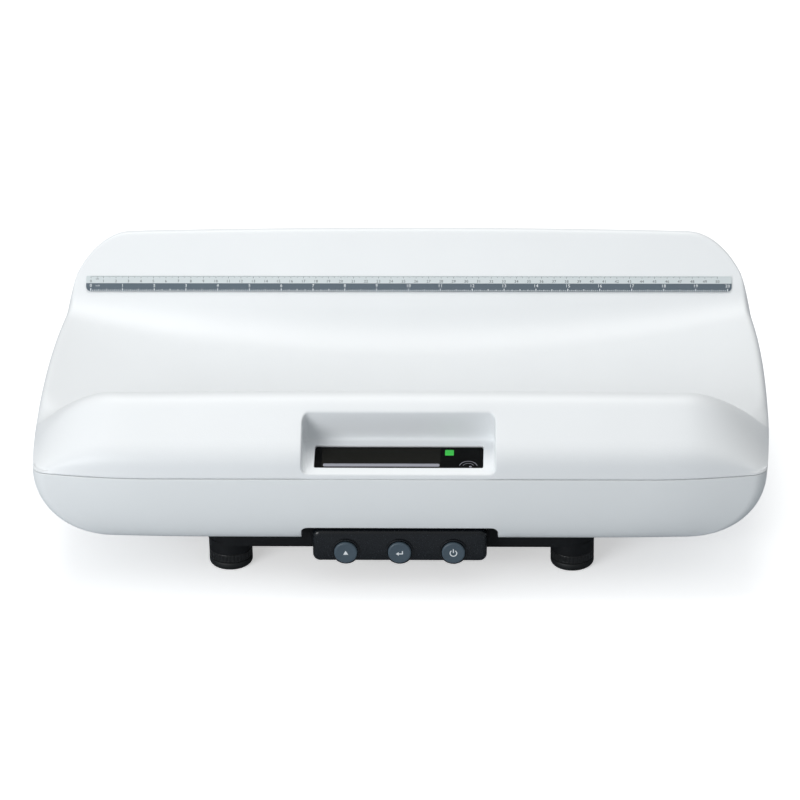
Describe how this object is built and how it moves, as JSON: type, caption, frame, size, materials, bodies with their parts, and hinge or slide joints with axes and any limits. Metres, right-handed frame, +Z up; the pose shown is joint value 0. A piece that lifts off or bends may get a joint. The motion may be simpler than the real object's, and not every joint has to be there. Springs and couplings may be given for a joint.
{
  "type": "baby weighing scale",
  "caption": "Digital baby scale: white trough tray with length strip and sunk display on a black base with levelling feet and a button panel.",
  "frame": {"origin": "on the table, under the middle of the tray", "axes": "+X along the tray to the right, +Y to the back, +Z up"},
  "size_m": [0.559, 0.318, 0.154],
  "materials": {
    "white_shell": "fine moulded grain",
    "strip_light": "printed film",
    "strip_dark": "printed film",
    "aluminium": "milled",
    "steel": "zinc plated",
    "black_plastic": "fine moulded grain",
    "window": "glossy tinted",
    "lcd": "polarised glass",
    "circuit_board": "solder mask",
    "mark_green": "printed",
    "level_glass": "clear",
    "level_bubble": "clear",
    "button": "smooth moulded",
    "battery": "plain sleeve",
    "brass": "turned",
    "plate": "blank film",
    "foot_rubber": "moulded rubber",
    "foot_plastic": "moulded"
  },
  "bodies": {
    "base": {"load_cell": "aluminium", "cell_plate": "steel", "cell_fixed_screws": "steel", "base_pan": "black_plastic", "base_cover": "black_plastic", "cover_screws": "steel", "overload_stops": "steel", "display_housing": "black_plastic", "display_window": "window", "lcd_glass": "lcd", "display_board": "circuit_board", "verification_mark": "mark_green", "level_body": "level_glass", "level_bubble": "level_bubble", "panel_housing": "black_plastic", "keypad_board": "circuit_board", "switch_left": "black_plastic", "switch_middle": "black_plastic", "switch_right": "black_plastic", "main_board": "circuit_board", "board_parts": "black_plastic", "battery_box": "black_plastic", "batteries": "battery", "battery_contacts": "brass", "power_jack": "black_plastic", "foot_inserts": "brass", "rating_plate": "plate"},
    "platform": {"weighing_tray": "white_shell", "lower_shell": "white_shell", "measuring_strip": "strip_light", "strip_inch_band": "strip_dark", "platform_carrier": "aluminium", "carrier_screws": "steel", "shell_screws": "steel", "cell_spacer": "steel", "cell_free_screws": "steel"},
    "key_left": {"button_left": "button"},
    "key_middle": {"button_middle": "button"},
    "key_right": {"button_right": "button"},
    "door": {"battery_door": "black_plastic"},
    "pad_front_left": {"foot_pad_front_left": "foot_rubber"},
    "pad_front_right": {"foot_pad_front_right": "foot_rubber"},
    "pad_back_left": {"foot_pad_back_left": "foot_rubber"},
    "pad_back_right": {"foot_pad_back_right": "foot_rubber"},
    "screw_front_left": {"foot_screw_front_left": "foot_plastic"},
    "screw_front_right": {"foot_screw_front_right": "foot_plastic"},
    "screw_back_left": {"foot_screw_back_left": "foot_plastic"},
    "screw_back_right": {"foot_screw_back_right": "foot_plastic"}
  },
  "joints": [
    {"name": "platform_travel", "type": "slide", "parent": "base", "child": "platform", "axis": [0, 0, -1], "range_m": [0, 0.0005], "stiffness_N_per_m": 150000, "springref_m": -0.00012, "deforming": ["load_cell"]},
    {"name": "key_left_press", "type": "slide", "parent": "base", "child": "key_left", "axis": [0, 1, 0], "range_m": [0, 0.0012], "stiffness_N_per_m": 400, "springref_m": -0.001},
    {"name": "key_middle_press", "type": "slide", "parent": "base", "child": "key_middle", "axis": [0, 1, 0], "range_m": [0, 0.0012], "stiffness_N_per_m": 400, "springref_m": -0.001},
    {"name": "key_right_press", "type": "slide", "parent": "base", "child": "key_right", "axis": [0, 1, 0], "range_m": [0, 0.0012], "stiffness_N_per_m": 400, "springref_m": -0.001},
    {"name": "battery_door_off", "type": "slide", "parent": "base", "child": "door", "axis": [0, 0, -1], "range_m": [0, 0.012]},
    {"name": "pad_front_left_slide", "type": "slide", "parent": "base", "child": "pad_front_left", "axis": [0, 0, -1], "range_m": [0, 0.006]},
    {"name": "screw_front_left_turn", "type": "hinge", "parent": "pad_front_left", "child": "screw_front_left", "pos_m": [-0.13, -0.114, 0.005], "axis": [0, 0, -1], "range_deg": [0, 1720]},
    {"name": "pad_front_right_slide", "type": "slide", "parent": "base", "child": "pad_front_right", "axis": [0, 0, -1], "range_m": [0, 0.006]},
    {"name": "screw_front_right_turn", "type": "hinge", "parent": "pad_front_right", "child": "screw_front_right", "pos_m": [0.13, -0.114, 0.005], "axis": [0, 0, -1], "range_deg": [0, 1720]},
    {"name": "pad_back_left_slide", "type": "slide", "parent": "base", "child": "pad_back_left", "axis": [0, 0, -1], "range_m": [0, 0.006]},
    {"name": "screw_back_left_turn", "type": "hinge", "parent": "pad_back_left", "child": "screw_back_left", "pos_m": [-0.13, 0.093, 0.005], "axis": [0, 0, -1], "range_deg": [0, 1720]},
    {"name": "pad_back_right_slide", "type": "slide", "parent": "base", "child": "pad_back_right", "axis": [0, 0, -1], "range_m": [0, 0.006]},
    {"name": "screw_back_right_turn", "type": "hinge", "parent": "pad_back_right", "child": "screw_back_right", "pos_m": [0.13, 0.093, 0.005], "axis": [0, 0, -1], "range_deg": [0, 1720]}
  ],
  "couplings": [
    {"joint": "pad_front_left_slide", "follows": "screw_front_left_turn", "m_per_rad": 0.00019894},
    {"joint": "pad_front_right_slide", "follows": "screw_front_right_turn", "m_per_rad": 0.00019894},
    {"joint": "pad_back_left_slide", "follows": "screw_back_left_turn", "m_per_rad": 0.00019894},
    {"joint": "pad_back_right_slide", "follows": "screw_back_right_turn", "m_per_rad": 0.00019894}
  ]
}
